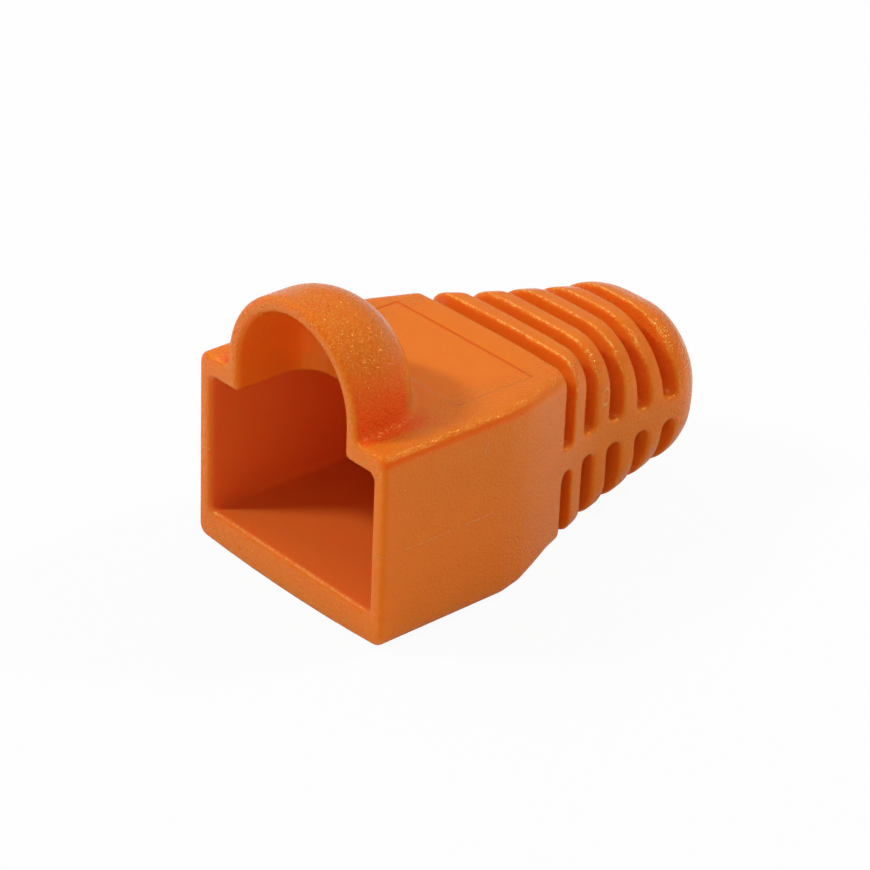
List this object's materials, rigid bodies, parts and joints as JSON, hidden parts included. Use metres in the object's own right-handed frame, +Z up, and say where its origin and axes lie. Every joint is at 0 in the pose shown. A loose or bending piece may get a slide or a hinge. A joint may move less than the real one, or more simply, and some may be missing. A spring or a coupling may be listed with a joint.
{
  "type": "strain relief boot",
  "caption": "Soft moulded boot for a modular network plug: square sleeve with a domed hood over the latch, drawn in to a ribbed, slotted tail that lets the cable bend.",
  "frame": {"origin": "under the middle of the boot, on the level that it rests on", "axes": "+X across the plug, +Y from the plug's mouth to the cable's end, +Z up towards the latch's hood"},
  "size_m": [0.0136, 0.023, 0.0154],
  "materials": {
    "soft_pvc": "satin, slightly translucent"
  },
  "bodies": {
    "root": {"strain_relief_boot": "soft_pvc"}
  },
  "joints": []
}
